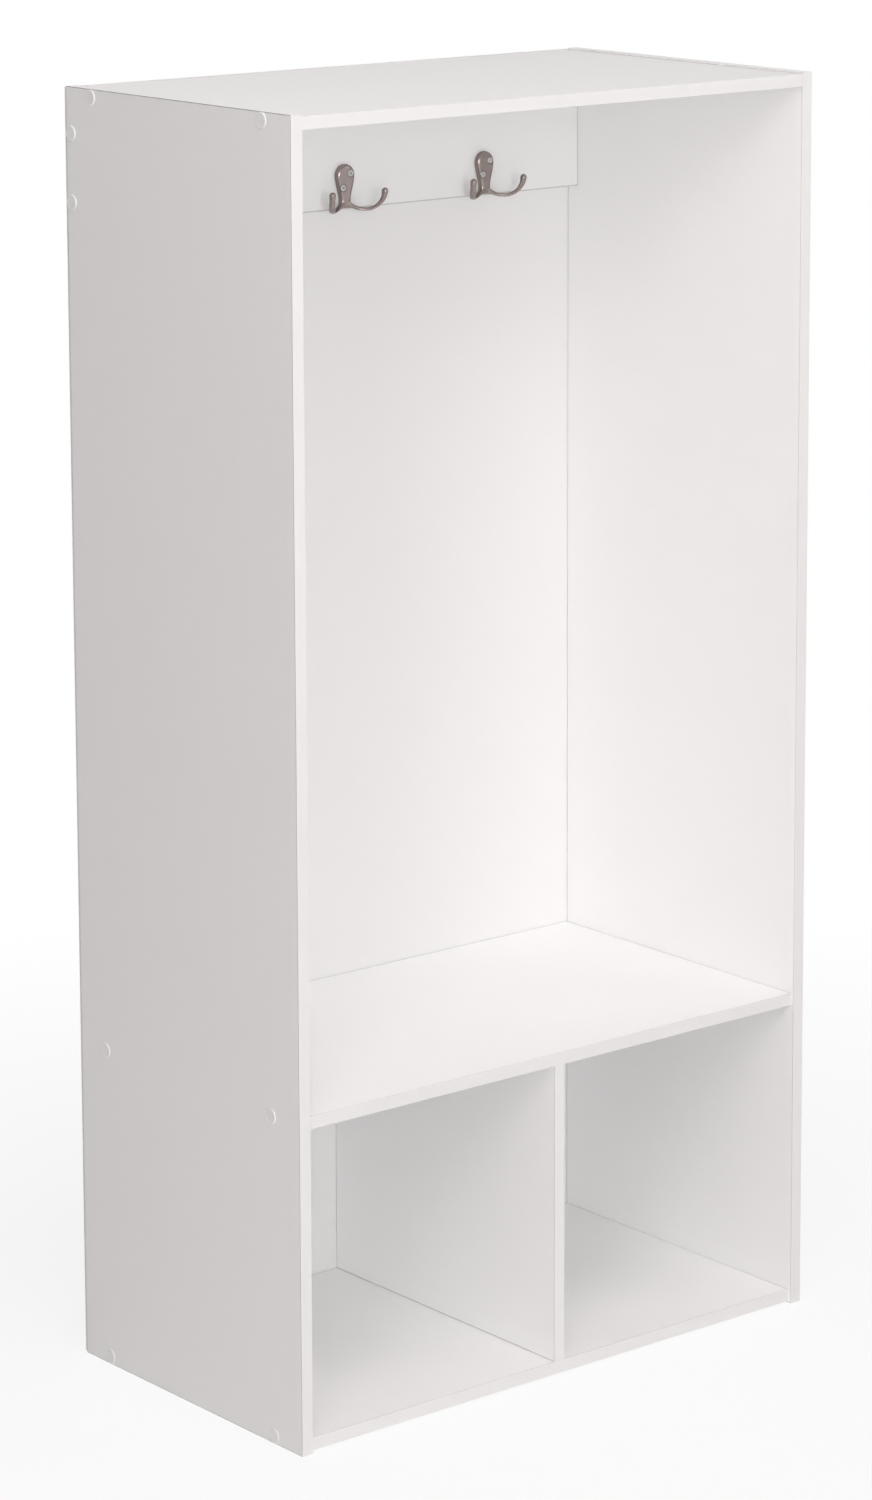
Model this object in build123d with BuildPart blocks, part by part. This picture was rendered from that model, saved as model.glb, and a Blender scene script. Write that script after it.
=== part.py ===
"""Open hall-tree locker of white laminated board, in millimetres.

Two full-height sides hold a top, a bench shelf and a bottom between them. A divider makes two
cubbies under the bench, a thin sheet closes the back, and a rail at the top carries double coat
hooks. The origin is at floor level under the middle of the case, +Z is up and the front faces -Y.
"""

import os
from math import cos, radians, sin, tan

from build123d import *

# Case
case_width = 612.0  # across the outer faces of the sides
case_depth = 340.0  # from the front edge bands to the rear of the back sheet
case_height = 1206.0
board = 12.0  # thickness of every case board
end_step = 1.5  # the sides stand proud of the top and of the bottom panel by this
front_setback = 4.0  # the bench, divider and bottom stop this short of the sides' front
cubby_height = 288.0  # clear height between the bottom panel and the bench
band = 1.0  # thickness of the edge bands

# Back sheet and its nails
sheet = 3.0
sheet_inset = 1.0  # the sheet's edges stop this short of the case's outline
nail_radius = 0.8
nail_head_radius = 2.0
nail_head = 0.8
nail_length = 16.0
nail_margin = 50.0  # from the end of a row of nails to the end of its board
side_nails = 6
board_nails = 3
divider_nails = 2

# Hook rail
rail_board = 15.0
rail_height = 122.0
rail_screw_inset = 29.0  # from the rail's upper and lower edge to its screws

# Screws that hold the boards between the sides, and the caps over them
screw_radius = 2.5
screw_head_radius = 4.5
screw_length = 48.0
screw_tip = 4.0
screw_socket = 4.0  # across the flats
screw_socket_depth = 2.4
screw_inset = 42.0  # from the case's front and back to the screws
cap_radius = 7.25
cap_height = 1.1
cap_round = 0.7
cap_stem = 1.8

# Divider fixings
dowel_radius = 3.0
dowel_in_divider = 20.0
dowel_cover = 4.0  # board left over a dowel's hole in the bench
dowel_chamfer = 0.6
divider_fixing_inset = 85.0  # from the case's front and back
divider_screw_radius = 2.0
divider_screw_head_radius = 4.0
divider_screw_length = 45.0

# Coat hooks
hook_end_gap = 122.0  # from a side's inner face to the nearest hook's middle
hook_above_edge = 32.6  # centre of the plate's round top over the rail's lower edge
plate = 5.6
plate_radius = 10.7
plate_round = 2.0
neck_half_width = 6.4
neck_drop = 21.0  # from the centre of the plate's top to its narrowest place
foot_half_width = 8.0
foot_drop = 31.2
foot_arch = 1.0
foot_flare = 30.0  # degrees that the outline leans outwards at the foot
prong_plate_turn = 4.0  # degrees that a prong heads away from the rail at the plate's middle
prong_tip_turn = 64.0  # the same at its tip
prong_root_reach = 3.4  # measured along the prong from above, from the plate's middle
prong_root_drop = 26.9  # from the centre of the plate's top
prong_root_bend = 27.0
prong_root_angle = 39.6  # degrees from the root to the low point
prong_tip_bend = 19.2
prong_tip_angle = 86.0  # degrees from the low point to the tip
prong_width = 5.9
prong_root_thickness = 4.6
prong_low_thickness = 3.4
prong_tip_thickness = 6.3
prong_ball_swell = 0.1  # the round end is this much larger in radius than the bar
high_screw_x = 4.8  # hook screws, from the centre of the plate's top
high_screw_z = 1.7
low_screw_x = -4.0
low_screw_z = -11.7
hook_screw_radius = 1.75
hook_screw_head_radius = 3.1
hook_screw_cover = 4.0  # rail left behind the tip of a hook screw

# Screw heads and clearances
head_angle = 90.0  # of every countersunk head and its seat
cross_width = 0.9
cross_depth = 1.6
fit_gap = 0.1  # round every screw, nail and dowel in its hole
end_gap = 0.5  # beyond the end of a screw, nail or dowel

# Levels and faces worked out from the sizes above
half_width = case_width / 2
inner_half = half_width - board
front = -case_depth / 2
back = case_depth / 2
sheet_front = back - sheet
inset_front = front + front_setback
bottom_under = end_step
bottom_top = bottom_under + board
bench_under = bottom_top + cubby_height
bench_top = bench_under + board
top_over = case_height - end_step
top_under = top_over - board
rail_under = top_under - rail_height
rail_front = sheet_front - rail_board
hook_level = rail_under + hook_above_edge
hook_spacing = inner_half - hook_end_gap
hook_screw_length = plate + rail_board - hook_screw_cover
dowel_in_bench = board - dowel_cover
side_middle = half_width - board / 2
hook_rows = {"left": -hook_spacing, "middle": 0.0, "right": hook_spacing}
sides = {"left": -1, "right": 1}

os.makedirs("parts", exist_ok=True)


def save(piece, name):
    """Labels a finished piece and writes it as a node."""
    piece.label = name
    export_step(piece, f"parts/{name}.step")


def place(x, y, z, outward):
    """A place on a surface, with its Z axis pointing out of the surface."""
    return Plane(origin=(x, y, z), z_dir=outward).location


def evenly(low, high, count):
    """Places spread evenly over a row of nails, with a margin at both ends."""
    step = (high - low - 2 * nail_margin) / (count - 1)
    return [low + nail_margin + step * i for i in range(count)]


def fill(low, high):
    """Adds the block between two opposite corners to the piece being built."""
    size = [end - start for start, end in zip(low, high)]
    middle = [(start + end) / 2 for start, end in zip(low, high)]
    with Locations(tuple(middle)):
        Box(*size)


def block(low, high):
    """A plain piece between two opposite corners."""
    with BuildPart() as piece:
        fill(low, high)
    return piece.part


def repeat(piece, places):
    """Copies of one piece, as separate solids."""
    with BuildPart() as group:
        with Locations(*places):
            add(piece)
    return group.part


# Rows of fixings. Each row's places serve the holes, the screws and the caps alike.
screw_rows_y = (front + screw_inset, back - screw_inset)
board_levels = {
    "bottom": bottom_under + board / 2,
    "bench": bench_under + board / 2,
    "top": top_under + board / 2,
}
rail_screw_levels = (rail_under + rail_screw_inset, top_under - rail_screw_inset)
rail_middle_y = rail_front + rail_board / 2


def side_row(sign, points):
    """Places on a side's outer face, from (y, z) points."""
    return [place(sign * half_width, y, z, (sign, 0, 0)) for y, z in points]


row_points = {name: [(y, z) for y in screw_rows_y] for name, z in board_levels.items()}
row_points["rail"] = [(rail_middle_y, z) for z in rail_screw_levels]
screw_rows = {
    name: [spot for sign in sides.values() for spot in side_row(sign, points)]
    for name, points in row_points.items()
}

nail_rows = {
    "left": [(-side_middle, z) for z in evenly(0, rail_under, side_nails)],
    "right": [(side_middle, z) for z in evenly(0, rail_under, side_nails)],
    "divider": [(0, z) for z in evenly(bottom_top, bench_under, divider_nails)],
}
for name, level in board_levels.items():
    nail_rows[name] = [(x, level) for x in evenly(-inner_half, inner_half, board_nails)]


def nail_places(name):
    """Places of one board's nails on the rear face of the back sheet."""
    return [place(x, back, z, (0, 1, 0)) for x, z in nail_rows[name]]


every_nail = [spot for name in nail_rows for spot in nail_places(name)]
divider_fixing_y = (front + divider_fixing_inset, back - divider_fixing_inset)
divider_screw_places = [place(0, y, bottom_under, (0, 0, -1)) for y in divider_fixing_y]
dowel_places = [place(0, y, bench_under, (0, 0, 1)) for y in divider_fixing_y]
hook_places = [Location((x, rail_front, hook_level)) for x in hook_rows.values()]
hook_screw_points = ((high_screw_x, high_screw_z), (low_screw_x, low_screw_z))
hook_screw_spots = [place(x, -plate, z, (0, -1, 0)) for x, z in hook_screw_points]
hook_screw_places = [hook * spot for hook in hook_places for spot in hook_screw_spots]


def drill(radius, depth, places):
    """Round holes in the piece being built, wider than their screw, nail or dowel by the fit."""
    with Locations(*places):
        Hole(radius + fit_gap, depth=depth + end_gap)


def countersink(radius, head_radius, depth, places):
    """Holes with a conical seat for a screw's head, wider than the screw by the fit."""
    with Locations(*places):
        CounterSinkHole(radius + fit_gap, head_radius + fit_gap, depth, head_angle)


# Sides: through holes with a seat for each screw, and nail holes in the back edge
for name, sign in sides.items():
    inner, outer = sorted((sign * inner_half, sign * half_width))
    points = [point for row in row_points.values() for point in row]
    with BuildPart() as side_panel:
        fill((inner, front + band, 0), (outer, sheet_front, case_height))
        countersink(screw_radius, screw_head_radius, 2 * board, side_row(sign, points))
        drill(nail_radius, nail_length, nail_places(name))
    save(side_panel.part, f"{name}_side_panel")
    save(block((inner, front, 0), (outer, front + band, case_height)), f"{name}_side_edge_band")

# Top panel, flush with the sides' front
with BuildPart() as top_panel:
    fill((-inner_half, front + band, top_under), (inner_half, sheet_front, top_over))
    drill(screw_radius, screw_length, screw_rows["top"])
    drill(nail_radius, nail_length, nail_places("top"))
save(top_panel.part, "top_panel")
save(block((-inner_half, front, top_under), (inner_half, front + band, top_over)), "top_edge_band")

# Bench shelf, with blind dowel holes in its underside
with BuildPart() as bench_shelf:
    fill((-inner_half, inset_front + band, bench_under), (inner_half, sheet_front, bench_top))
    drill(screw_radius, screw_length, screw_rows["bench"])
    drill(nail_radius, nail_length, nail_places("bench"))
    with Locations(*dowel_places):
        Hole(dowel_radius + fit_gap, depth=dowel_in_bench)
save(bench_shelf.part, "bench_shelf")
save(
    block((-inner_half, inset_front, bench_under), (inner_half, inset_front + band, bench_top)),
    "bench_edge_band",
)

# Bottom panel, with seats underneath for the divider's screws
with BuildPart() as bottom_panel:
    fill((-inner_half, inset_front + band, bottom_under), (inner_half, sheet_front, bottom_top))
    drill(screw_radius, screw_length, screw_rows["bottom"])
    drill(nail_radius, nail_length, nail_places("bottom"))
    countersink(divider_screw_radius, divider_screw_head_radius, 2 * board, divider_screw_places)
save(bottom_panel.part, "bottom_panel")
save(
    block((-inner_half, inset_front, bottom_under), (inner_half, inset_front + band, bottom_top)),
    "bottom_edge_band",
)

# Centre divider
with BuildPart() as center_divider:
    fill((-board / 2, inset_front + band, bottom_top), (board / 2, sheet_front, bench_under))
    drill(divider_screw_radius, divider_screw_length, divider_screw_places)
    drill(nail_radius, nail_length, nail_places("divider"))
    drill(dowel_radius, dowel_in_divider, dowel_places)
save(center_divider.part, "center_divider")
save(
    block((-board / 2, inset_front, bottom_top), (board / 2, inset_front + band, bench_under)),
    "divider_edge_band",
)

# Hook rail, under the top panel and against the back sheet
with BuildPart() as hook_rail:
    fill((-inner_half, rail_front, rail_under + band), (inner_half, sheet_front, top_under))
    drill(screw_radius, screw_length, screw_rows["rail"])
    drill(hook_screw_radius, hook_screw_length, hook_screw_places)
save(hook_rail.part, "hook_rail")
save(
    block((-inner_half, rail_front, rail_under), (inner_half, sheet_front, rail_under + band)),
    "rail_edge_band",
)

# Back sheet, nailed on behind the boards with sunk heads
sheet_half = half_width - sheet_inset
with BuildPart() as back_sheet:
    fill((-sheet_half, sheet_front, sheet_inset), (sheet_half, back, case_height - sheet_inset))
    with Locations(*every_nail):
        CounterBoreHole(nail_radius + fit_gap, nail_head_radius + fit_gap, nail_head, 2 * sheet)
save(back_sheet.part, "back_sheet")


def round_piece(points):
    """A turned piece from its half profile, (radius, height) points."""
    with BuildPart() as turned:
        with BuildSketch(Plane.XZ):
            with BuildLine():
                Polyline(*points, close=True)
            make_face()
        revolve(axis=Axis.Z)
    return turned.part


def countersunk(radius, head_radius, length, tip):
    """A screw along -Z, with its flat head's face at the origin."""
    cone = (head_radius - radius) / tan(radians(head_angle / 2))
    return round_piece(
        [(0, 0), (head_radius, 0), (radius, -cone), (radius, tip - length), (0, -length)]
    )


def cross_recessed(radius, head_radius, length):
    """A countersunk screw with a cross in its head."""
    blank = countersunk(radius, head_radius, length, 2 * radius)
    with BuildPart() as screw:
        add(blank)
        with BuildSketch():
            Rectangle(head_radius, cross_width)
            Rectangle(cross_width, head_radius)
        extrude(amount=-cross_depth, mode=Mode.SUBTRACT)
    return screw.part


# Case screws with a six-sided socket, one group for each board
case_screw_blank = countersunk(screw_radius, screw_head_radius, screw_length, screw_tip)
with BuildPart() as case_screw:
    add(case_screw_blank)
    with BuildSketch():
        RegularPolygon(screw_socket / 2, 6, major_radius=False)
    extrude(amount=-screw_socket_depth, mode=Mode.SUBTRACT)
for name, places in screw_rows.items():
    save(repeat(case_screw.part, places), f"{name}_screws")

# Caps: a low round button whose stem sits in the screw's socket
with BuildPart() as cap:
    Cylinder(cap_radius, cap_height, align=(Align.CENTER, Align.CENTER, Align.MIN))
    fillet(cap.edges().filter_by(GeomType.CIRCLE).sort_by(Axis.Z)[-1], cap_round)
    with BuildSketch():
        Circle(screw_socket / 2 - fit_gap)
    extrude(amount=-cap_stem)
for name, sign in sides.items():
    points = [point for row in row_points.values() for point in row]
    save(repeat(cap.part, side_row(sign, points)), f"{name}_screw_caps")

# Divider fixings: dowels into the bench, screws up through the bottom
with BuildPart() as dowel:
    with BuildSketch(Plane.XY.offset(-dowel_in_divider)):
        Circle(dowel_radius)
    extrude(amount=dowel_in_divider + dowel_in_bench - end_gap)
    chamfer(dowel.edges().filter_by(GeomType.CIRCLE), dowel_chamfer)
save(repeat(dowel.part, dowel_places), "divider_dowels")
divider_screw = cross_recessed(
    divider_screw_radius, divider_screw_head_radius, divider_screw_length
)
save(repeat(divider_screw, divider_screw_places), "divider_screws")

# Back sheet nails, heads flush with the sheet
nail = round_piece(
    [
        (0, 0),
        (nail_head_radius, 0),
        (nail_head_radius, -nail_head),
        (nail_radius, -nail_head),
        (nail_radius, 2 * nail_radius - nail_length),
        (0, -nail_length),
    ]
)
save(repeat(nail, every_nail), "back_sheet_nails")


def prong_station(side, lead):
    """The plane across a prong. Lead runs from -1 at its root through 0 at its low point to 1."""
    root = radians(prong_root_angle)
    tip = radians(prong_tip_angle)
    low_reach = prong_root_reach + prong_root_bend * sin(root)
    low_drop = prong_root_drop + prong_root_bend * (1 - cos(root))
    bend = prong_root_bend if lead < 0 else prong_tip_bend
    angle = root * lead if lead < 0 else tip * lead
    reach = low_reach + bend * sin(angle)
    drop = low_drop - bend * (1 - cos(angle))
    start = radians(prong_plate_turn)
    sweep = radians(prong_tip_turn - prong_plate_turn)
    full_reach = low_reach + prong_tip_bend * sin(tip)
    turn = start + sweep * reach / full_reach
    plan_radius = full_reach / sweep
    along = plan_radius * (sin(turn) - sin(start))
    out = plate / 2 + plan_radius * (cos(start) - cos(turn))
    ahead = (side * cos(turn) * cos(angle), -sin(turn) * cos(angle), sin(angle))
    across = (side * sin(turn), cos(turn), 0)
    return Plane(origin=(side * along, -out, -drop), x_dir=across, z_dir=ahead)


def prong_thickness(lead):
    """A prong is thinnest at its low point and thickens as the square of the lead."""
    end = prong_root_thickness if lead < 0 else prong_tip_thickness
    return prong_low_thickness + (end - prong_low_thickness) * lead**2


prong_leads = (-1, -0.5, 0, 0.35, 0.7, 1)  # where the bar's oval sections stand


def prong(side):
    """One upturned arm of a hook, an oval bar with a round end."""
    with BuildPart() as arm:
        for lead in prong_leads:
            with BuildSketch(prong_station(side, lead)):
                Ellipse(prong_width / 2, prong_thickness(lead) / 2)
        loft()
        with Locations(prong_station(side, 1).location):
            Sphere(max(prong_width, prong_tip_thickness) / 2 + prong_ball_swell)
    return arm.part


# Coat hook: a tongue-shaped plate with two prongs springing from its foot
flare = radians(foot_flare)
foot = (foot_half_width, -foot_drop)
other_foot = (-foot_half_width, -foot_drop)
prongs = [prong(side) for side in sides.values()]
with BuildPart() as coat_hook:
    with BuildSketch(Plane.XZ):
        with BuildLine():
            RadiusArc((0, plate_radius), (plate_radius, 0), plate_radius)
            Spline(
                (plate_radius, 0),
                (neck_half_width, -neck_drop),
                foot,
                tangents=((0, -1), (sin(flare), -cos(flare))),
            )
            mirror(about=Plane.YZ)
            ThreePointArc(foot, (0, foot_arch - foot_drop), other_foot)
        make_face()
    extrude(amount=plate)
    fillet(coat_hook.faces().sort_by(Axis.Y)[0].edges(), plate_round)
    add(prongs)
    countersink(hook_screw_radius, hook_screw_head_radius, 2 * plate, hook_screw_spots)
for name, spot in zip(hook_rows, hook_places):
    save(repeat(coat_hook.part, [spot]), f"{name}_coat_hook")

hook_screw = cross_recessed(hook_screw_radius, hook_screw_head_radius, hook_screw_length)
save(repeat(hook_screw, hook_screw_places), "hook_screws")
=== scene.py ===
# %% [markdown]
# # An open hall tree in white board
# The object is a tall open locker for a hallway: two full-height sides, a top, a bench shelf and a
# bottom of white laminated board, two cubbies, a thin back and a rail with double coat hooks.
# The CAD model already holds every piece in its right place. It could be rendered as it is, but its
# edges are knife sharp and its faces are one flat colour, so this lesson gives each piece the soft
# edges, fine grain and light that the real one has. Everything is in metres, in the CAD frame.

import math

import bmesh
import bpy
import numpy as np
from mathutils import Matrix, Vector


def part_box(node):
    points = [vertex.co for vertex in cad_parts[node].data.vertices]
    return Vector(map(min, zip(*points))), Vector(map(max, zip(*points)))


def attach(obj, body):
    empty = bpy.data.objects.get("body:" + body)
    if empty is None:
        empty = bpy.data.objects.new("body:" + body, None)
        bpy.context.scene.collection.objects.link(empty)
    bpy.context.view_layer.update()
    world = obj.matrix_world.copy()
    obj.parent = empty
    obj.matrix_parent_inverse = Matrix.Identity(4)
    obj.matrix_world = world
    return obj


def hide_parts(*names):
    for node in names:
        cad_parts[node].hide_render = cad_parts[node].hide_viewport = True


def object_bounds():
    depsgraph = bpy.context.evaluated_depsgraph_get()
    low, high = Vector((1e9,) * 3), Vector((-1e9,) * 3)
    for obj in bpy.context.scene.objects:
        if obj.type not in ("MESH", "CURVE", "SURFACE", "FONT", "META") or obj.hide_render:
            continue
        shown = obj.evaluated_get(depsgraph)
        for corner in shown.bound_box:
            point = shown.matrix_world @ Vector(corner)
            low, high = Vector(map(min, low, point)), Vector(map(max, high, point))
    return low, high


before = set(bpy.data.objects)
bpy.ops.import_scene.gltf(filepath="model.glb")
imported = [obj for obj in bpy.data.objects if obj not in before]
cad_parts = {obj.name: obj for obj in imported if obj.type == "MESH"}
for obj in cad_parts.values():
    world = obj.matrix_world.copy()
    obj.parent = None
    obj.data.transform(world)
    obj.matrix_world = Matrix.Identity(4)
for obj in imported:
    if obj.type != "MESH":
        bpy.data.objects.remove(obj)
cad_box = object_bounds()
mm = 0.001
print("CAD nodes:", len(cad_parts), "box:", [list(corner) for corner in cad_box])

# %% [markdown]
# ## From arrays to a mesh
# A shape here is a grid of points: one parameter runs along the rows, the other along the columns.
# The faces of any grid are the same quads, so one helper numbers them for all pieces and closes the
# last column onto the first. A second helper puts points and faces into a mesh and merges the
# points that meet at a pole. Blender's own primitives would be quicker for one piece, but a formula
# keeps every size in view and makes the repeats easy.


# %% Grid helpers
def grid_faces(rows, columns, first=0):
    """Quads of a grid whose columns close into a ring, as corner numbers counted from first."""
    row, column = np.meshgrid(np.arange(rows - 1), np.arange(columns), indexing="ij")
    beside = (column + 1) % columns
    corners = [row * columns + column, row * columns + beside]
    corners += [(row + 1) * columns + beside, (row + 1) * columns + column]
    return first + np.stack(corners, axis=-1).reshape(-1, 4)


def put_mesh(name, points, faces, weld=1e-7):
    """An object of these points and faces, with points closer than weld merged and normals outwards."""
    mesh = bpy.data.meshes.new(name)
    mesh.from_pydata(np.asarray(points).reshape(-1, 3).tolist(), [], [list(face) for face in faces])
    work = bmesh.new()
    work.from_mesh(mesh)
    bmesh.ops.remove_doubles(work, verts=work.verts, dist=weld)
    bmesh.ops.recalc_face_normals(work, faces=work.faces)
    work.to_mesh(mesh)
    work.free()
    mesh.shade_smooth()
    piece = bpy.data.objects.new(name, mesh)
    bpy.context.scene.collection.objects.link(piece)
    return piece


def mesh_points(mesh):
    """The places of a mesh's points as an array of rows x, y, z."""
    places = np.empty(len(mesh.vertices) * 3)
    mesh.vertices.foreach_get("co", places)
    return places.reshape(-1, 3)


print("grid of 3 rows by 4 columns has", len(grid_faces(3, 4)), "quads")

# %% [markdown]
# ## Shader node groups
# The laminate, the edge bands, the plastic caps and the plated metal all have the same kind of
# irregularity: a slow drift of tone over the face and a very fine texture that scatters light.
# That could be built again in each material. As a node group it is built once, and every material
# places it with its own values. The fibres of hardboard and beech share a second group: noise that
# is stretched along one axis.


# %% Node helpers
def add_node(tree, kind, sockets=None, **settings):
    """Adds a shader node, with plain settings as keywords and input sockets by name or number."""
    node = tree.nodes.new(kind)
    for name, value in settings.items():
        setattr(node, name, value)
    for name, value in (sockets or {}).items():
        if isinstance(value, bpy.types.NodeSocket):
            tree.links.new(value, node.inputs[name])
        else:
            node.inputs[name].default_value = value
    return node


def reckon(tree, operation, *values):
    """The result of a Math node whose inputs are these numbers or sockets."""
    return add_node(tree, "ShaderNodeMath", dict(enumerate(values)), operation=operation).outputs[0]


def start_group(name, inputs, outputs):
    """An empty shader group with named inputs (name, kind, value) and outputs (name, kind)."""
    tree = bpy.data.node_groups.new(name, "ShaderNodeTree")
    for label, kind, value in inputs:
        socket = tree.interface.new_socket(label, in_out="INPUT", socket_type=kind)
        socket.default_value = value
    for label, kind in outputs:
        tree.interface.new_socket(label, in_out="OUTPUT", socket_type=kind)
    return tree, add_node(tree, "NodeGroupInput"), add_node(tree, "NodeGroupOutput")


COLOUR, NUMBER, VECTOR = "NodeSocketColor", "NodeSocketFloat", "NodeSocketVector"
print("socket kinds:", COLOUR, NUMBER, VECTOR)


# %% The two shared groups
def make_fine_mottle():
    """Colour times 1 + spread * (slow noise - half), roughness likewise, and fine noise as height."""
    tree, given, out = start_group(
        "fine_mottle",
        [
            ("Colour", COLOUR, (0.8, 0.8, 0.8, 1)),
            ("Tone Spread", NUMBER, 0.03),
            ("Rest Roughness", NUMBER, 0.4),
            ("Roughness Spread", NUMBER, 0.1),
            ("Patch Density", NUMBER, 6.0),
            ("Grain Density", NUMBER, 900.0),
        ],
        [("Colour", COLOUR), ("Roughness", NUMBER), ("Height", NUMBER)],
    )
    place = add_node(tree, "ShaderNodeTexCoord").outputs["Object"]
    patches = add_node(
        tree, "ShaderNodeTexNoise",
        {"Vector": place, "Scale": given.outputs["Patch Density"], "Detail": 4.0},
    )
    grain = add_node(
        tree, "ShaderNodeTexNoise",
        {"Vector": place, "Scale": given.outputs["Grain Density"], "Detail": 2.0},
    )
    rest_rough, rough_spread = given.outputs["Rest Roughness"], given.outputs["Roughness Spread"]
    drift = reckon(tree, "SUBTRACT", patches.outputs["Fac"], 0.5)
    tone = reckon(tree, "MULTIPLY_ADD", drift, given.outputs["Tone Spread"], 1.0)
    rough = reckon(tree, "MULTIPLY_ADD", drift, rough_spread, rest_rough)
    toned = add_node(tree, "ShaderNodeVectorMath", {0: given.outputs["Colour"], 3: tone}, operation="SCALE")
    tree.links.new(toned.outputs[0], out.inputs["Colour"])
    tree.links.new(rough, out.inputs["Roughness"])
    tree.links.new(grain.outputs["Fac"], out.inputs["Height"])
    return tree


def make_fibre_streaks():
    """Noise with its own density along each axis: the lowest one draws streaks of dark and light colour."""
    tree, given, out = start_group(
        "fibre_streaks",
        [
            ("Light Colour", COLOUR, (0.4, 0.25, 0.14, 1)),
            ("Dark Colour", COLOUR, (0.25, 0.14, 0.07, 1)),
            ("Density", VECTOR, (200.0, 200.0, 200.0)),
        ],
        [("Colour", COLOUR), ("Height", NUMBER)],
    )
    place = add_node(tree, "ShaderNodeTexCoord").outputs["Object"]
    drawn = add_node(
        tree, "ShaderNodeVectorMath", {0: place, 1: given.outputs["Density"]}, operation="MULTIPLY"
    ).outputs[0]
    fibres = add_node(tree, "ShaderNodeTexNoise", {"Vector": drawn, "Scale": 1.0, "Detail": 5.0})
    blend = add_node(
        tree, "ShaderNodeMix",
        {0: fibres.outputs["Fac"], 6: given.outputs["Dark Colour"], 7: given.outputs["Light Colour"]},
        data_type="RGBA",
    )
    tree.links.new(blend.outputs[2], out.inputs["Colour"])
    tree.links.new(fibres.outputs["Fac"], out.inputs["Height"])
    return tree


fine_mottle = make_fine_mottle()
fibre_streaks = make_fibre_streaks()
print("node groups:", fine_mottle.name, fibre_streaks.name)

# %% [markdown]
# ## Finishes
# White melamine laminate is a neutral satin film with a faint embossed texture. The warm tint of the
# picture comes from the lamps. The edge bands are thin plastic, a little greyer and smoother. The
# rail's film is painted greyer still: painted shade, as the rail lies high in the bay under the top.
# Along the eased edges a dark hairline is painted: partly the board's darker core where the film is
# trimmed, partly painted shade in the joints between boards. The hooks are die castings under satin
# nickel, painted darker than the metal is as painted shade for the dark surroundings it would
# reflect. The screws are zinc plated and the caps are moulded plastic. Each finish is one Principled
# shader: the group drives its colour, roughness and bump, and what is the same all over, such as
# Metallic, is set on the shader itself.


# %% Mottled finishes
def start_material(name):
    """A new material, its node tree and its Principled shader."""
    material = bpy.data.materials.new(name)
    material.use_nodes = True
    return material, material.node_tree, material.node_tree.nodes["Principled BSDF"]


def mottled_finish(name, colour, metallic=0.0, bump_depth=0.05 * mm, bump_strength=0.1, **mottle):
    """A material whose colour, roughness and bump come from the fine_mottle group."""
    material, tree, shader = start_material(name)
    values = {label.replace("_", " ").title(): value for label, value in mottle.items()}
    group = add_node(tree, "ShaderNodeGroup", {"Colour": (*colour, 1), **values}, node_tree=fine_mottle)
    bump = add_node(
        tree, "ShaderNodeBump",
        {"Height": group.outputs["Height"], "Distance": bump_depth, "Strength": bump_strength},
    )
    tree.links.new(group.outputs["Colour"], shader.inputs["Base Color"])
    tree.links.new(group.outputs["Roughness"], shader.inputs["Roughness"])
    tree.links.new(bump.outputs["Normal"], shader.inputs["Normal"])
    shader.inputs["Metallic"].default_value = metallic
    return material


film = {"tone_spread": 0.03, "rest_roughness": 0.45, "roughness_spread": 0.15}
film |= {"patch_density": 5.0, "grain_density": 700.0}
laminate = mottled_finish("white_laminate_finish", (0.906, 0.91, 0.911), **film)
# The rail's greyer white is painted shade: the rail lies high in the bay, shaded by the top.
rail_white_painted_shade = mottled_finish("rail_laminate_painted_shade_finish", (0.84, 0.848, 0.852), **film)
# Dark hairline for eased faces: partly the board's core, partly painted shade in the joints and under the
# rail.
core_and_painted_joint_shade = mottled_finish(
    "core_and_painted_joint_shade_finish", (0.3, 0.29, 0.28), tone_spread=0.2, rest_roughness=0.7, roughness_spread=0.1,
    patch_density=40.0, grain_density=1200.0,
)
band_white = mottled_finish(
    "edge_band_finish", (0.803, 0.806, 0.806), tone_spread=0.03, rest_roughness=0.38, roughness_spread=0.15,
    patch_density=14.0, grain_density=1500.0,
)
cap_white = mottled_finish(
    "cap_finish", (0.87, 0.873, 0.873), tone_spread=0.05, rest_roughness=0.42, roughness_spread=0.2,
    patch_density=120.0, grain_density=2500.0,
)
# The nickel is painted darker than the metal is: painted shade for the dark surroundings it would reflect.
nickel_with_painted_shade = mottled_finish(
    "satin_nickel_painted_shade_finish", (0.31, 0.262, 0.25), metallic=1.0, tone_spread=0.2, rest_roughness=0.2,
    roughness_spread=0.12, patch_density=260.0, grain_density=2600.0, bump_depth=0.02 * mm, bump_strength=0.2,
)
zinc = mottled_finish(
    "zinc_finish", (0.6, 0.6, 0.59), metallic=1.0, tone_spread=0.2, rest_roughness=0.28,
    roughness_spread=0.2, patch_density=700.0, grain_density=4000.0, bump_depth=0.01 * mm, bump_strength=0.2,
)
mottled = (laminate, rail_white_painted_shade, core_and_painted_joint_shade, band_white, cap_white, nickel_with_painted_shade, zinc)
print("mottled finishes:", [finish.name for finish in mottled])

# %% [markdown]
# ## Fibre finishes
# The back is thin hardboard: white paper on the face inside the case and wrapped over the edges,
# bare brown board behind. One solid needs both, so the shader reads the depth of each point and
# changes over just inside the back face. Two materials on two sets of faces would do as well, but
# the CAD mesh stays untouched this way. The dowels are plain beech with the grain along their length.


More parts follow.
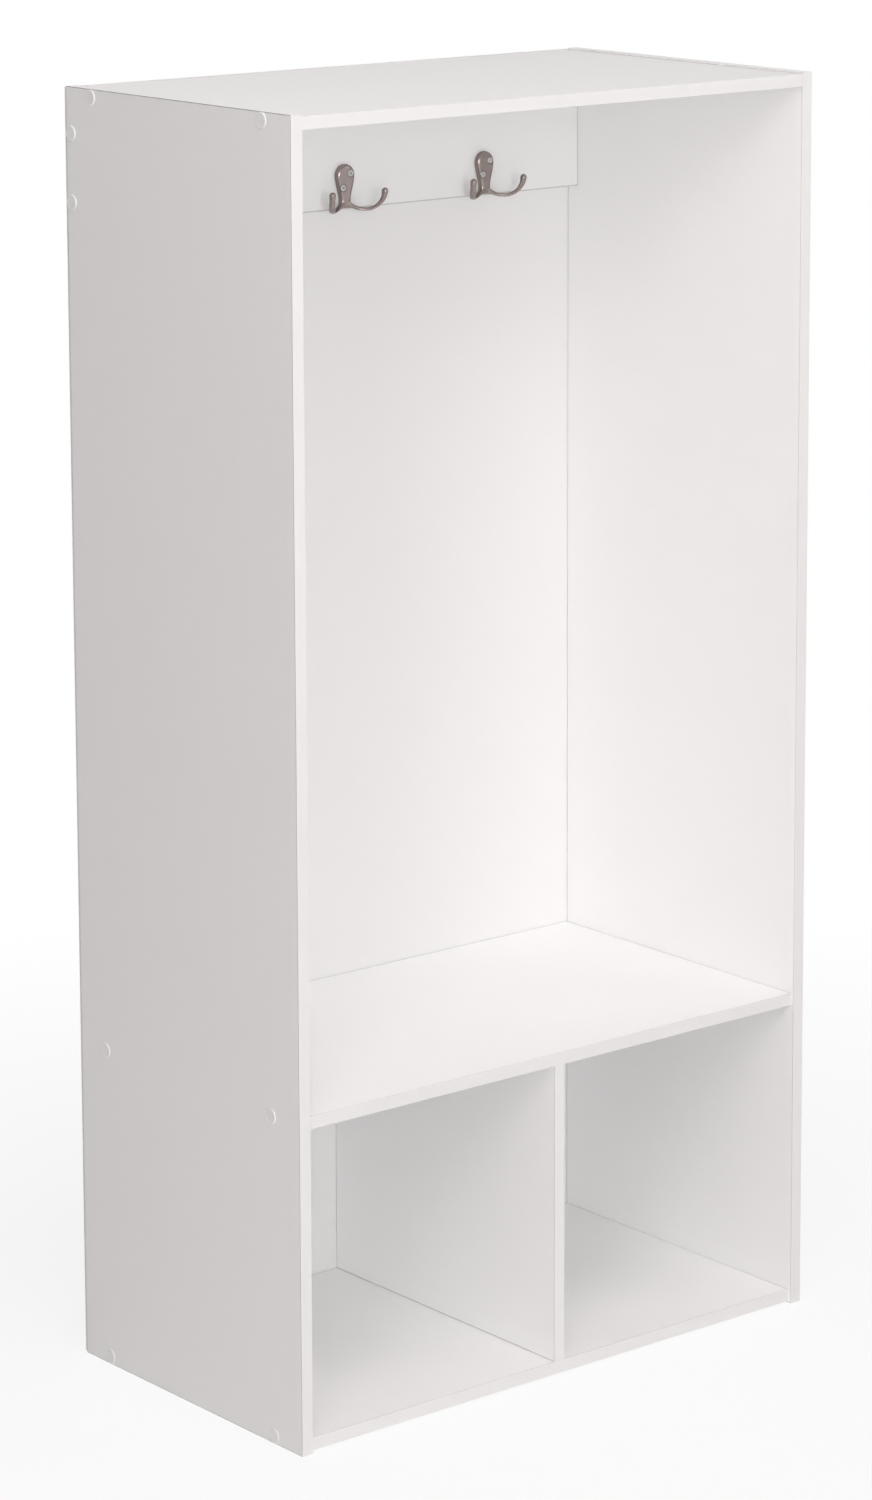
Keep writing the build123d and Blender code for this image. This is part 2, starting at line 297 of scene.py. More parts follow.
# %% Hardboard and beech
def fibre_finish(name, light, dark, density, roughness, bump_depth=0.1 * mm, bump_strength=0.2):
    """A material coloured by the fibre_streaks group, with its streaks as bump."""
    material, tree, shader = start_material(name)
    shader.inputs["Roughness"].default_value = roughness
    streaks = {"Light Colour": (*light, 1), "Dark Colour": (*dark, 1), "Density": density}
    group = add_node(tree, "ShaderNodeGroup", streaks, node_tree=fibre_streaks)
    bump = add_node(
        tree, "ShaderNodeBump",
        {"Height": group.outputs["Height"], "Distance": bump_depth, "Strength": bump_strength},
    )
    tree.links.new(group.outputs["Colour"], shader.inputs["Base Color"])
    tree.links.new(bump.outputs["Normal"], shader.inputs["Normal"])
    return material


paper_wrap = 0.1 * mm  # the paper ends this far in front of the back face
paper_white = {"Colour": (0.823, 0.828, 0.831, 1), "Tone Spread": 0.02}
paper_white |= {"Patch Density": 4.0, "Rest Roughness": 0.55}


def sheet_finish():
    """White paper in front, hardboard behind: the colour changes where y nears the sheet's back face."""
    material = fibre_finish(
        "back_sheet_finish", light=(0.4, 0.26, 0.15), dark=(0.26, 0.155, 0.08),
        density=(900.0, 60.0, 260.0), roughness=0.55,
    )
    tree = material.node_tree
    shader = tree.nodes["Principled BSDF"]
    brown = shader.inputs["Base Color"].links[0].from_socket
    paper = add_node(tree, "ShaderNodeGroup", paper_white, node_tree=fine_mottle)
    back_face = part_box("back_sheet")[1][1]
    place = add_node(tree, "ShaderNodeTexCoord").outputs["Object"]
    depth = add_node(tree, "ShaderNodeSeparateXYZ", {0: place}).outputs["Y"]
    behind = reckon(tree, "GREATER_THAN", depth, back_face - paper_wrap)
    face = add_node(
        tree, "ShaderNodeMix", {0: behind, 6: paper.outputs["Colour"], 7: brown}, data_type="RGBA"
    )
    tree.links.new(face.outputs[2], shader.inputs["Base Color"])
    tree.links.new(paper.outputs["Roughness"], shader.inputs["Roughness"])
    return material


sheet_white = sheet_finish()
beech = fibre_finish(
    "beech_finish", light=(0.62, 0.45, 0.28), dark=(0.5, 0.34, 0.19),
    density=(500.0, 500.0, 30.0), roughness=0.6,
)
print("fibre finishes:", sheet_white.name, beech.name)

# %% [markdown]
# ## Boards and edge bands
# Each board is a panel of particle board under laminate, and each front edge carries a thin plastic
# band. Real arrises are eased by a fraction of a millimetre. That is too small to see as a shape,
# but the eased faces carry a painted dark hairline, partly the core and partly painted shade, and
# that hairline draws the fine dark lines where two boards meet. A Bevel modifier on a cube would ease
# the edges too. Here the whole board is one grid: the ring goes round the four upright edges, and the
# rows tuck it in at the bottom and at the top by the same quarter circle.


# %% A board with eased edges
def eased_board(name, low, high, ease, steps=3):
    """A block whose edges are rounded by ease.

    Each point is a corner of the block drawn in by ease, plus ease times a unit vector whose angles
    round the upright axis and above the horizon run through a quarter circle at every corner.
    """
    low, high = np.array(low), np.array(high)
    quarter = np.linspace(0, math.pi / 2, steps + 1)
    turn = (quarter + math.pi / 2 * np.arange(4)[:, None]).ravel()
    lift = np.concatenate([quarter - math.pi / 2, quarter])[:, None]
    corner_x = np.repeat([1, -1, -1, 1], steps + 1) + 0 * lift
    corner_y = np.repeat([1, 1, -1, -1], steps + 1) + 0 * lift
    corner_z = np.repeat([-1, 1], steps + 1)[:, None] + 0 * turn
    out = np.stack([np.cos(lift) * np.cos(turn), np.cos(lift) * np.sin(turn), np.sin(lift) + 0 * turn], -1)
    corner = np.stack([corner_x, corner_y, corner_z], -1)
    points = (low + high) / 2 + corner * ((high - low) / 2 - ease) + ease * out
    rows, columns = lift.size, turn.size
    faces = [list(face) for face in grid_faces(rows, columns)]
    faces.append(list(range(columns)))
    faces.append(list(range((rows - 1) * columns, rows * columns)))
    piece = put_mesh(name, points, faces)
    places = mesh_points(piece.data)
    normals = places - np.clip(places, low + ease, high - ease)
    normals /= np.linalg.norm(normals, axis=1)[:, None]
    piece.data.normals_split_custom_set_from_vertices(normals.tolist())
    return piece


board_ease = 0.6 * mm
band_ease = 0.3 * mm
print("eased by", board_ease, "m on boards and", band_ease, "m on bands")

# %% [markdown]
# ## Dressing a piece
# A finished piece needs its material and the body it rides on, and the CAD nodes it stands for are
# hidden. The dark hairline is a second material on the eased faces alone, partly the board's core
# and partly painted shade in the joints. It could be drawn by a shader that measures the distance to
# an edge, but the faces are there already, so picking them by their normals is simpler and is kept
# by the export.

# %% Finish, place and core line
square_share = 0.999  # a face is square if its unit normal has this much along one axis


def dress(piece, finish, slot, *nodes):
    """Gives a new piece its finish and its place on the body, and hides the CAD nodes it stands for."""
    piece.data.materials.append(finish)
    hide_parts(*nodes)
    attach(piece, "root")


def show_core_and_painted_joint_shade(piece, below=math.inf):
    """Gives eased faces, whose normals follow no axis, the dark hairline of core and painted joint shade,
    where they lie below a level.
    """
    faces = piece.data.polygons
    normals, centres = np.empty((2, len(faces) * 3))
    faces.foreach_get("normal", normals)
    faces.foreach_get("center", centres)
    eased = np.abs(normals.reshape(-1, 3)).max(axis=1) < square_share
    eased &= centres.reshape(-1, 3)[:, 2] < below
    piece.data.materials.append(core_and_painted_joint_shade)
    faces.foreach_set("material_index", eased.astype(np.int32))


print("core line finish:", core_and_painted_joint_shade.name)

# %% [markdown]
# ## All boards and bands in place
# The CAD box of each node gives the corners, so no place has to be written here. A board's front edge
# runs on into its band by the eased width, so that the seam shows as the band's own fine line and not
# as a groove. The top edge of the right side is trimmed clean and gets no dark hairline. The rail's
# band gets the hairline all round, as painted shade under the rail.

# %% Boards and bands
boards = ["left_side_panel", "right_side_panel", "top_panel", "bench_shelf", "bottom_panel"]
boards += ["center_divider", "hook_rail"]
banded = ("left_side", "right_side", "top", "bench", "bottom", "divider", "rail")
bands = [f"{place}_edge_band" for place in banded]
screw_relief = np.array([0, 0, 0.05 * mm])  # the bottom's screw heads stand this clear of its underside
for node in boards:
    low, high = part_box(node)
    low = np.array(low) + (screw_relief if node == "bottom_panel" else 0)
    banded_axis = 2 if node == "hook_rail" else 1
    low[banded_axis] -= board_ease
    board = eased_board(f"{node}_laminated", low, high, board_ease)
    dress(board, rail_white_painted_shade if node == "hook_rail" else laminate, "white_laminate", node)
    clean_from = high[2] - board_ease if node == "right_side_panel" else math.inf
    show_core_and_painted_joint_shade(board, clean_from)
for node in bands:
    strip = eased_board(f"{node}_strip", *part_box(node), band_ease)
    dress(strip, band_white, "edge_band", node)
    # The rail's band gets the dark hairline as painted shade: the contact shadow under the rail.
    if node == "rail_edge_band":
        show_core_and_painted_joint_shade(strip)
print("boards:", len(boards), "edge bands:", len(bands))

# %% [markdown]
# ## Screw caps
# White plastic caps hide the screws on the outer faces of the sides. Each is a thin disc with a
# raised bead round a flat face. The bead is bright where it turns to the lamps and dark where it
# turns away, so the cap shows as a ring. It is a turned shape: one profile from the foot to the
# middle, carried round a circle. All caps of a side are one array, because the profile and the
# circle are the same and only their centres differ.

# %% Caps as turned profiles
cap_radius = 7.25 * mm
cap_height = 1.1 * mm
cap_neck = 6.7 * mm
cap_gap = 0.2 * mm  # under the rim, where the cap stands off the board
cap_bead = 0.75 * mm  # half the width of the bead
cap_shoulder = 0.6 * mm  # the fall from the bead's top to its outer foot
cap_dip = 0.2 * mm  # the fall from the bead's top to the face
cap_inset = 42 * mm  # from the case's front and back
rail_cap_inset = 29 * mm  # from the rail's upper and lower edge
cap_crease = math.radians(35)  # edges that turn by more than this stay sharp


def middle(node):
    """The middle of a node's box."""
    low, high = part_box(node)
    return (np.array(low) + np.array(high)) / 2


def cap_centres():
    """Depth and height of the caps of one side: two for each board's end."""
    front, back = cad_box[0][1], cad_box[1][1]
    centres = [
        (depth, middle(node)[2])
        for node in ("top_panel", "bench_shelf", "bottom_panel")
        for depth in (front + cap_inset, back - cap_inset)
    ]
    low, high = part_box("hook_rail")
    centres += [(middle("hook_rail")[1], low[2] + rail_cap_inset)]
    centres += [(middle("hook_rail")[1], high[2] - rail_cap_inset)]
    return np.array(centres)


def turned_caps(name, face_x, way, spokes=48, bead_rows=21, face_rows=6):
    """Discs on a side: up the neck, out under the rim, up its wall, over the bead, in across the face.

    Each way from its top the bead falls by half its fall times one less the cosine of a half turn.
    """
    share = np.linspace(1, -1, bead_rows)
    fall = np.where(share > 0, cap_shoulder, cap_dip)
    bead_out = cap_radius + cap_bead * (share - 1)
    bead_up = cap_height - fall * (1 - np.cos(math.pi * share)) / 2
    inward = np.linspace(1, 0, face_rows)[1:]
    radius = np.concatenate([[0, cap_neck, cap_neck, cap_radius], bead_out, bead_out[-1] * inward])
    height = np.concatenate([[0, 0, cap_gap, cap_gap], bead_up, bead_up[-1] + 0 * inward])
    spoke = np.linspace(0, 2 * math.pi, spokes, endpoint=False)
    centres = cap_centres()[:, None, None]
    depth = centres[..., 0] + radius[:, None] * np.cos(spoke)
    level = centres[..., 1] + radius[:, None] * np.sin(spoke)
    across = face_x + way * height[:, None] + 0 * depth
    points = np.stack([across, depth, level], -1)
    firsts = radius.size * spokes * np.arange(len(centres))
    faces = np.concatenate([grid_faces(radius.size, spokes, first) for first in firsts])
    caps = put_mesh(name, points, faces)
    caps.data.set_sharp_from_angle(angle=cap_crease)
    return caps


for side, node, way in (("left", "left_side_panel", -1), ("right", "right_side_panel", 1)):
    face_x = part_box(node)[0 if way < 0 else 1][0]
    caps = turned_caps(f"{side}_side_caps", face_x, way)
    dress(caps, cap_white, "cap_plastic", f"{side}_screw_caps")
    print(caps.name, len(caps.data.polygons), "faces")

# %% [markdown]
# ## Coat hooks
# Each hook is a die casting: a tongue-shaped plate with rounded edges, and two oval prongs that
# leave its foot. The plate's outline is a round head, a waist and a flaring foot. It could be drawn
# as a curve and extruded, but then its front would be flat up to a sharp edge. So the outline is
# carried over the edge's quarter circle and then drawn in to a spine along the middle.

# %% The plate
plate = 5.6 * mm
plate_radius = 10.7 * mm
plate_round = 3.2 * mm
neck_half_width = 6.4 * mm
neck_drop = 21.0 * mm
foot_half_width = 9.3 * mm
foot_drop = 32.5 * mm
foot_arch = 1.0 * mm
foot_slope = math.tan(math.radians(42))
spine_rise = 3 * plate_round  # the spine ends this far above the sole


def plate_half_width(drop):
    """Half the width at a drop below the round head's centre.

    Two cubic spans, head to neck and neck to foot, that share slope and curvature at the neck.
    """
    upper, lower = neck_drop, foot_drop - neck_drop
    upper_rise = (neck_half_width - plate_radius) / upper
    lower_rise = (foot_half_width - neck_half_width) / lower
    pull = 3 * (upper_rise / upper + lower_rise / lower) - foot_slope / lower
    neck_slope = pull / (2 / upper + 2 / lower)

    def span(t, length, start, end, start_slope, end_slope):
        bulge = t**3 - 2 * t**2 + t
        return (
            start
            + (end - start) * (3 * t**2 - 2 * t**3)
            + length * (start_slope * bulge + end_slope * (t**3 - t**2))
        )

    above = span(drop / upper, upper, plate_radius, neck_half_width, 0, neck_slope)
    below = span((drop - upper) / lower, lower, neck_half_width, foot_half_width, neck_slope, foot_slope)
    return np.where(drop < upper, above, below)


def plate_outline(head=48, flank=40, sole=20):
    """The plate's edge seen from the front, anticlockwise: head, left flank, sole, right flank."""
    turn = np.linspace(0, math.pi, head, endpoint=False)
    drop = np.linspace(0, foot_drop, flank, endpoint=False)
    share = np.linspace(-1, 1, sole, endpoint=False)
    rise = foot_drop - drop
    across = [plate_radius * np.cos(turn), -plate_half_width(drop), foot_half_width * share]
    up = [plate_radius * np.sin(turn), -drop, foot_arch * (1 - share**2) - foot_drop]
    return np.concatenate(across + [plate_half_width(rise)]), np.concatenate(up + [-rise])


def plate_skin(bend_rows=7):
    """Rings from the back's spine out to the edge, over its quarter circle and in to the front's spine."""
    across, up = plate_outline()
    along_x, along_z = np.roll(across, -1) - np.roll(across, 1), np.roll(up, -1) - np.roll(up, 1)
    length = np.hypot(along_x, along_z)
    out_x, out_z = along_z / length, -along_x / length
    bend = np.linspace(0, math.pi / 2, bend_rows)
    inset = np.concatenate([[0, 0], plate_round * (1 - np.cos(bend)), [plate_round] * 2])[:, None]
    front = np.concatenate([[0, 0], plate - plate_round + plate_round * np.sin(bend), [plate] * 2])[:, None]
    to_spine = np.concatenate([[1, 0], np.zeros(bend.size), [0.5, 1]])[:, None]
    ring_x = across - inset * out_x
    ring_z = np.maximum(up - inset * out_z, inset - foot_drop)  # the flaring foot stays above its sole
    spine_z = np.clip(up, -foot_drop + spine_rise, 0)
    points = [ring_x * (1 - to_spine), -front + 0 * across, ring_z + (spine_z - ring_z) * to_spine]
    return np.stack(points, -1)


print("plate grid:", plate_skin().shape)

# %% [markdown]
# ## Prongs
# A prong leaves the foot, dips and turns up and outwards to a round tip. A curve with a round bevel
# would be near, but the real arm is an oval that is thinnest at its lowest point and swells at the
# tip. So an oval section is carried along a bent path, with its width and thickness set by where it
# is on the way.

# %% The prongs
prong_plate_turn = math.radians(4)
prong_tip_turn = math.radians(64)
prong_root_reach = 3.4 * mm
prong_root_drop = 26.9 * mm
prong_root_bend = 27.0 * mm
prong_root_angle = math.radians(39.6)
prong_tip_bend = 19.2 * mm
prong_tip_angle = math.radians(86)
prong_width = 5.9 * mm
prong_root_thickness = 4.6 * mm
prong_low_thickness = 3.4 * mm
prong_tip_thickness = 6.3 * mm
prong_ball = prong_tip_thickness / 2 + 0.1 * mm  # a little thicker than the arm that it ends
swell_start = 0.8  # the lead at which the arm begins to swell to the ball
swell_length = 0.2


def prong_path(side, lead):
    """The middle line of a prong, from lead -1 at its root through 0 at its lowest point to 1.

    From the side it is two tangent arcs. From above it bends away from the rail at an even rate.
    """
    low_reach = prong_root_reach + prong_root_bend * math.sin(prong_root_angle)
    low_drop = prong_root_drop + prong_root_bend * (1 - math.cos(prong_root_angle))
    bend = np.where(lead < 0, prong_root_bend, prong_tip_bend)
    angle = np.where(lead < 0, prong_root_angle, prong_tip_angle) * lead
    reach = low_reach + bend * np.sin(angle)
    drop = low_drop - bend * (1 - np.cos(angle))
    sweep = prong_tip_turn - prong_plate_turn
    full_reach = low_reach + prong_tip_bend * math.sin(prong_tip_angle)
    turn = prong_plate_turn + sweep * reach / full_reach
    plan_radius = full_reach / sweep
    along = plan_radius * (np.sin(turn) - math.sin(prong_plate_turn))
    out = plate / 2 + plan_radius * (math.cos(prong_plate_turn) - np.cos(turn))
    across = np.stack([side * np.sin(turn), np.cos(turn), 0 * turn], -1)
    return np.stack([side * along, -out, -drop], -1), across


def prong_skin(side, stations=60, spokes=28, dome_rows=12):
    """An oval carried along the path, thickest at the ends, then drawn in over a half ball at the tip."""
    lead = np.linspace(-1, 1, stations)
    path, across = prong_path(side, lead)
    ahead = np.gradient(path, axis=0)
    ahead /= np.linalg.norm(ahead, axis=1)[:, None]
    end = np.where(lead < 0, prong_root_thickness, prong_tip_thickness)
    thick = prong_low_thickness + (end - prong_low_thickness) * lead**2
    rise = np.clip((lead - swell_start) / swell_length, 0, 1)
    swell = rise**2 * (3 - 2 * rise)
    half_wide = prong_width / 2 + (prong_ball - prong_width / 2) * swell
    half_thick = thick / 2 + (prong_ball - prong_tip_thickness / 2) * swell
    dome = np.linspace(0, math.pi / 2, dome_rows)[1:, None]
    path = np.concatenate([path[:1], path, path[-1] + prong_ball * np.sin(dome) * ahead[-1]])
    across = np.concatenate([across[:1], across, across[-1] + 0 * dome])
    ahead = np.concatenate([ahead[:1], ahead, ahead[-1] + 0 * dome])
    half_wide = np.concatenate([[0], half_wide, prong_ball * np.cos(dome[:, 0])])[:, None, None]
    half_thick = np.concatenate([[0], half_thick, prong_ball * np.cos(dome[:, 0])])[:, None, None]
    upward = np.cross(ahead, across)
    spoke = np.linspace(0, 2 * math.pi, spokes, endpoint=False)[:, None]
    ring = half_wide * np.cos(spoke) * across[:, None] + half_thick * np.sin(spoke) * upward[:, None]
    return path[:, None] + ring


print("prong grid:", prong_skin(1).shape)

# %% [markdown]
# ## Fusing a hook and cutting its screw seats
# The three closed skins overlap where the prongs leave the foot, and as they are they would meet in
# hard creases. A voxel Remesh fuses them into one skin and a Smooth softens the joints, as the metal
# flows in the mould. A voxel of a third of a millimetre keeps the round tips smooth. The seats of the two
# countersunk screws come last, cut by a turned cone with a Boolean, because a remesh would blur
# their rims. One casting serves all three hooks, with its points moved to each place.

# %% One casting, three places
seat_mouth = 3.7 * mm  # the seat's rim is wider than the head, so a thin shadow rings the screw
seat_start = -1 * mm  # the cutter begins this far in front of the plate
seat_lip = 0.35 * mm
seat_depth = 2.4 * mm
seat_foot = 1.8 * mm
screw_points = np.array([[4.8, 1.7], [-4.0, -11.7]]) * mm
cast_voxel = 0.32 * mm


def joined(name, *skins):
    """Several closed grids in one mesh."""
    counts = np.cumsum([0] + [skin.shape[0] * skin.shape[1] for skin in skins])
    faces = np.concatenate([grid_faces(*skin.shape[:2], first) for skin, first in zip(skins, counts)])
    return put_mesh(name, np.concatenate([skin.reshape(-1, 3) for skin in skins]), faces)


def seat_skin(across, up, spokes=40):
    """A screw seat to cut away: a short lip, then a cone, turned about the screw's axis."""
    radius = np.array([0, seat_mouth, seat_mouth, seat_foot, 0])[:, None]
    depth = np.array([seat_start, seat_start, seat_lip, seat_depth, seat_depth])[:, None]
    spoke = np.linspace(0, 2 * math.pi, spokes, endpoint=False)
    points = [across + radius * np.cos(spoke), depth - plate + 0 * spoke, up + radius * np.sin(spoke)]
    return np.stack(points, -1)


def settle(piece):
    """Replaces a piece's mesh by what its modifiers make of it."""
    shown = piece.evaluated_get(bpy.context.evaluated_depsgraph_get())
    mesh = bpy.data.meshes.new_from_object(shown)
    piece.modifiers.clear()
    piece.data = mesh


casting = joined("hook_casting", plate_skin(), prong_skin(-1), prong_skin(1))
fuse = casting.modifiers.new("fuse", "REMESH")
fuse.mode = "VOXEL"
fuse.voxel_size = cast_voxel
fuse.use_smooth_shade = True
soften = casting.modifiers.new("soften", "SMOOTH")
soften.factor = 0.5
soften.iterations = 7
settle(casting)
cutter = joined("seat_cutter", *[seat_skin(across, up) for across, up in screw_points])
seats = casting.modifiers.new("seats", "BOOLEAN")
seats.operation = "DIFFERENCE"
seats.object = cutter
settle(casting)
bpy.data.objects.remove(cutter)
cast_points = mesh_points(casting.data)
print("casting:", len(casting.data.polygons), "faces, from", cast_points.min(0), "to", cast_points.max(0))

# %% [markdown]
# ## The hooks on the rail
# Three copies of the casting stand in a row. Moving the copies as objects would be the usual way, but
# a finished piece keeps its place in its mesh, so each copy's points are moved in one array sum.

# %% Set the hooks on the rail
hook_crease = math.radians(40)  # the rims of the screw seats stay sharp
rail_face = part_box("hook_rail")[0][1]
hook_centres = []
for place in ("left", "middle", "right"):
    low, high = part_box(f"{place}_coat_hook")
    centre = np.array([(low[0] + high[0]) / 2, rail_face, high[2] - plate_radius])
    mesh = casting.data.copy()
    mesh.vertices.foreach_set("co", (cast_points + centre).ravel())
    mesh.set_sharp_from_angle(angle=hook_crease)
    hook = bpy.data.objects.new(f"{place}_hook_casting", mesh)
    bpy.context.scene.collection.objects.link(hook)
    dress(hook, nickel_with_painted_shade, "satin_nickel", f"{place}_coat_hook")
    hook_centres.append(centre)
    print(hook.name, "at", np.round(centre, 4))
bpy.data.objects.remove(casting)

# %% [markdown]
# ## Hook screws
# Two countersunk screws with a cross recess hold each hook, one high on the right and one low on
# the left. A turned profile gives the head, cone and shank. The recess isn't round, so the head's
# face is a height field in polar coordinates: it drops wherever a point lies in one of the arms.
# A Boolean with a cross would do as well, but leaves long thin faces round the arms.

# %% Screws with a cross recess
head_radius = 3.1 * mm
head_edge = 0.15 * mm
shank_radius = 1.75 * mm
screw_length = 16.6 * mm
recess_depth = 2.6 * mm
arm_half_width = 0.65 * mm
arm_reach = 2.0 * mm
pit_radius = 1.25 * mm
recess_wall = 0.25 * mm
recess_taper = 0.9  # the share of the recess's depth that is gone at the end of an arm
screw_crease = math.radians(35)
twist_seed = 5


def screw_skin(across, up, twist, spokes=96, face_rows=30):
    """A countersunk screw whose face drops inside the arms of a cross and the pit where they meet."""
    spoke = np.linspace(0, 2 * math.pi, spokes, endpoint=False)
    face = np.linspace(0, head_radius - head_edge, face_rows)
    cone_end, point = head_radius - shank_radius, screw_length - shank_radius
    radius = np.concatenate([face, [head_radius, shank_radius, shank_radius, 0]])[:, None]
    depth = np.concatenate([0 * face, [head_edge, cone_end, point, screw_length]])[:, None]
    one, other = np.abs(radius * np.cos(spoke)), np.abs(radius * np.sin(spoke))
    aside, ahead = np.minimum(one, other), np.maximum(one, other)
    room = np.maximum(np.minimum(arm_half_width - aside, arm_reach - ahead), pit_radius - radius)
    inside = np.clip(room / recess_wall + 0.5, 0, 1)  # half a wall lies on each side of the arm's edge
    inside[face.size :] = 0
    depth = depth + recess_depth * inside * (1 - recess_taper * ahead / arm_reach)
    turn = spoke + twist
    out_x, out_z = radius * np.cos(turn), radius * np.sin(turn)
    return np.stack([across + out_x, rail_face - plate + depth, up + out_z], -1)


screw_count = len(hook_centres) * len(screw_points)
twists = iter(np.random.default_rng(twist_seed).uniform(0, math.pi / 2, screw_count))
screw_skins = [
    screw_skin(hook[0] + across, hook[2] + up, next(twists))
    for hook in hook_centres
    for across, up in screw_points
]
screws = joined("hook_screw_heads", *screw_skins)
screws.data.set_sharp_from_angle(angle=screw_crease)
dress(screws, zinc, "screw_steel", "hook_screws")
print(screws.name, len(screw_skins), "screws,", len(screws.data.polygons), "faces")

# %% [markdown]
# ## Nodes that keep their CAD shape
# The back sheet with its nail holes, the screws with their drives, the nails and the dowels are
# already the right shape, so only their material changes.

# %% Materials for the kept CAD nodes
kept = {"back_sheet": sheet_white, "divider_dowels": beech, "back_sheet_nails": zinc}
kept |= {f"{row}_screws": zinc for row in ("top", "bench", "bottom", "rail", "divider")}
for node, finish in kept.items():
    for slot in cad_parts[node].material_slots:
        slot.material = finish
print("kept CAD nodes:", sorted(kept))

# %% [markdown]
# ## Floor, world and light
# The photograph is a studio cut-out: pure white all round and soft light from the front, a little
# left of the case, with a broad light overhead. The floor is white paint that the camera sees part
# as light of its own, so that it comes out near white and still carries the soft contact shadow.
# The world shows white to the camera and in reflections, but gives no diffuse light.


# %% Floor and world
def is_seen(tree):
    """One for camera, glossy and transmission rays, zero for the rays that carry light."""
    rays = add_node(tree, "ShaderNodeLightPath").outputs
    direct = reckon(tree, "MAXIMUM", rays["Is Camera Ray"], rays["Is Glossy Ray"])
    return reckon(tree, "MAXIMUM", direct, rays["Is Transmission Ray"])


def paint_floor(paint=(0.9, 0.9, 0.9, 1), near=0.5, far=1.5, near_share=0.85):
    """White paint that the camera sees partly as plain white near the case and wholly so far off."""
    material, tree, _ = start_material("floor_paint")
    tree.nodes.clear()
    diffuse = add_node(tree, "ShaderNodeBsdfDiffuse", {"Color": paint}).outputs[0]
    glow = add_node(tree, "ShaderNodeEmission", {"Color": (1, 1, 1, 1), "Strength": 1.0}).outputs[0]
    place = add_node(tree, "ShaderNodeTexCoord").outputs["Object"]
    distance = add_node(tree, "ShaderNodeVectorMath", {0: place}, operation="LENGTH").outputs["Value"]
    white = add_node(
        tree, "ShaderNodeMapRange",
        {"Value": distance, "From Min": near, "From Max": far, "To Min": near_share, "To Max": 1.0},
    ).outputs[0]
    share = reckon(tree, "MULTIPLY", is_seen(tree), white)
    mixed = add_node(tree, "ShaderNodeMixShader", {0: share, 1: diffuse, 2: glow}).outputs[0]
    add_node(tree, "ShaderNodeOutputMaterial", {"Surface": mixed})
    return material


def light_world():
    """White to the camera and to reflections, black to everything else."""
    world = bpy.data.worlds.new("studio")
    world.use_nodes = True
    tree = world.node_tree
    tree.nodes.clear()
    seen = {"Color": (1, 1, 1, 1), "Strength": is_seen(tree)}
    white = add_node(tree, "ShaderNodeBackground", seen).outputs[0]
    add_node(tree, "ShaderNodeOutputWorld", {"Surface": white})
    bpy.context.scene.world = world


floor_half = 8.0
floor_corners = floor_half * np.array([[-1, -1, 0], [1, -1, 0], [1, 1, 0], [-1, 1, 0]])
floor = put_mesh("floor", floor_corners, [[0, 1, 2, 3]])
floor.data.materials.append(paint_floor())
light_world()
print("floor", floor.dimensions[:], "world", bpy.context.scene.world.name)

# %% [markdown]
# ## Lamps
# Each lamp is a square softbox aimed at the middle of the case, with the faint rosy tint that the
# photograph's whites have. Most are given by the direction they stand in, as a photographer would
# say it. Two fills, at the right and behind, reach only the faces that the picture doesn't show.

# %% Soft lights
case_middle = np.array([0, 0, 0.6])
rosy_white = (1.0, 0.955, 0.945)
lamp_distance = 5.0


def around(azimuth, elevation):
    """The place at lamp_distance from the middle, in degrees from the front to the right and up."""
    turn, lift = math.radians(azimuth), math.radians(elevation)
    away = np.array([math.sin(turn) * math.cos(lift), -math.cos(turn) * math.cos(lift), math.sin(lift)])
    return case_middle + lamp_distance * away


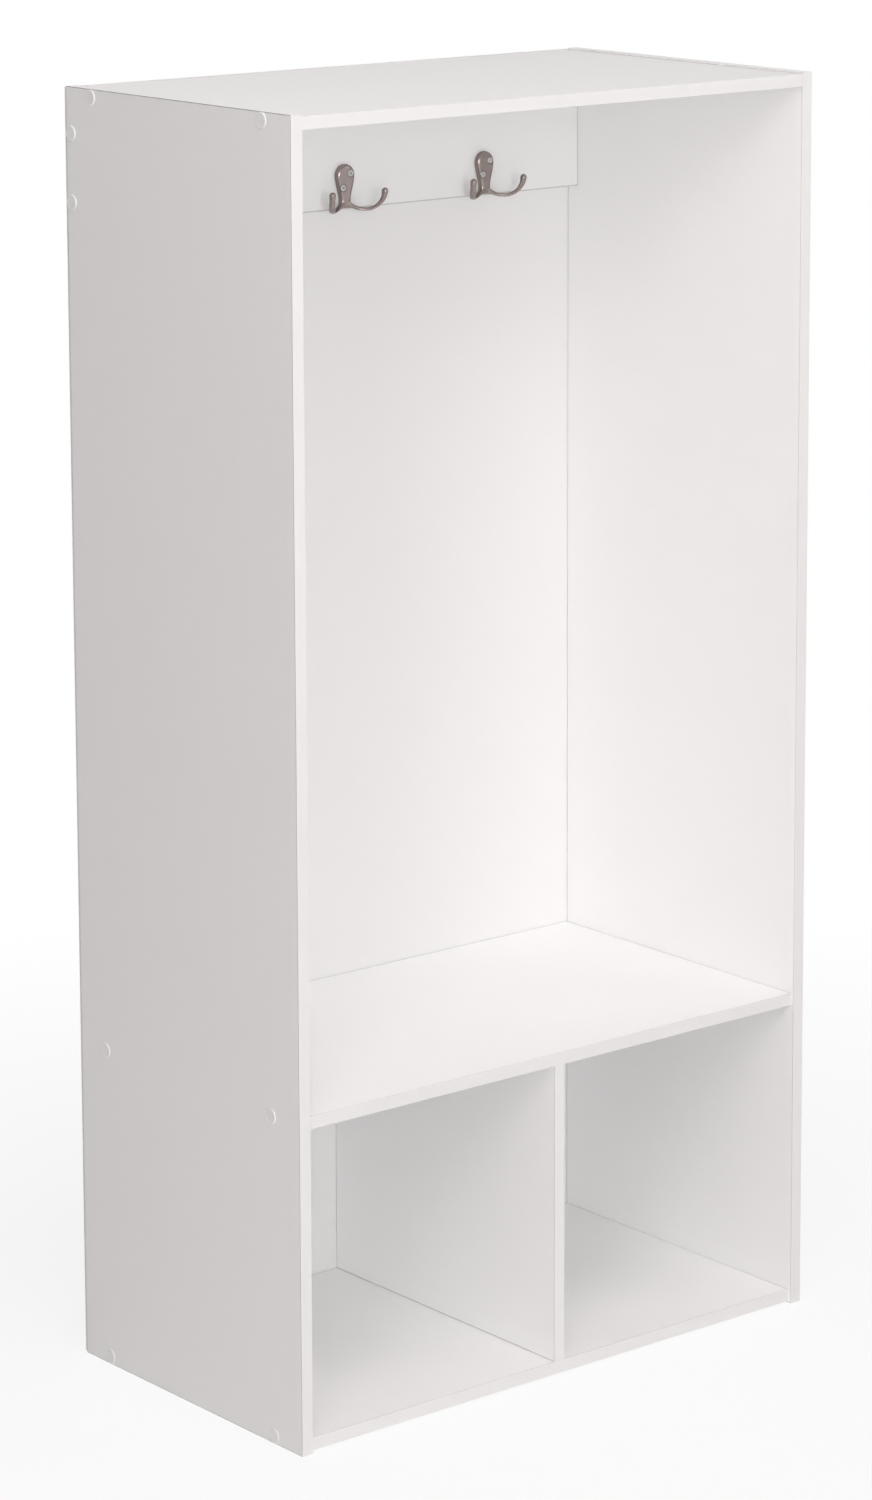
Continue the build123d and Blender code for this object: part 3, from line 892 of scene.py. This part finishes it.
def soft_light(name, place, size, watts):
    """A square softbox at place, turned and tilted to face the middle of the case."""
    lamp = bpy.data.lights.new(name, "AREA")
    lamp.size = size
    lamp.energy = watts
    lamp.color = rosy_white
    box = bpy.data.objects.new(name, lamp)
    away = np.array(place) - case_middle
    flat = math.hypot(away[0], away[1])
    box.location = place
    box.rotation_euler = (math.atan2(flat, away[2]), 0, math.atan2(away[0], -away[1]))
    bpy.context.scene.collection.objects.link(box)


soft_light("key_softbox", around(azimuth=-22, elevation=9), size=1.8, watts=75)
soft_light("high_left_softbox", around(azimuth=-45, elevation=30), size=2.0, watts=58)
soft_light("right_softbox", around(azimuth=50, elevation=20), size=2.0, watts=36)
soft_light("left_fill", around(azimuth=-80, elevation=15), size=2.5, watts=12)
soft_light("right_fill", around(azimuth=100, elevation=6), size=2.5, watts=25)
soft_light("rear_fill", around(azimuth=168, elevation=6), size=1.8, watts=50)
soft_light("overhead_softbox", place=(-0.6, -0.9, 4.4), size=4.0, watts=68)
soft_light("front_overhead_softbox", place=(-0.5, -2.6, 4.2), size=3.0, watts=37)

# %% [markdown]
# ## Camera
# The photograph was taken from the front left with a long lens and its uprights kept parallel, as
# with a shift lens. The place and turn of the camera come from fitting the corners of the case.
# Only part of the shift is used, because views from other sides keep it and would lose the case.
# Yaw turns from the case's depth towards its right, pitch turns down.

# %% Camera
image_width = 872
image_height = 1500
focal_px = 4644.2
axis_px = (536, 420)  # where the lens axis meets the picture, from its top left corner
camera_place = (-2.6930, -3.3173, 1.6157)
camera_yaw = 0.7018
camera_pitch = 0.1690
sensor = 36.0
lens = bpy.data.cameras.new("camera")
lens.sensor_width = sensor
lens.lens = focal_px / image_height * sensor
lens.shift_x = (image_width / 2 - axis_px[0]) / image_height
lens.shift_y = (axis_px[1] - image_height / 2) / image_height
lens.clip_end = 50
camera = bpy.data.objects.new("camera", lens)
camera.location = camera_place
camera.rotation_euler = (math.pi / 2 - camera_pitch, 0, -camera_yaw)
bpy.context.scene.collection.objects.link(camera)
bpy.context.scene.camera = camera
bpy.context.scene.view_settings.view_transform = "Standard"
# Light bounces many times between white boards, and inner corners turn too dark if it stops early.
bpy.context.scene.cycles.max_bounces = 24
bpy.context.scene.cycles.diffuse_bounces = 12
print("lens", round(lens.lens, 1), "mm, shift", round(lens.shift_x, 4), round(lens.shift_y, 4))
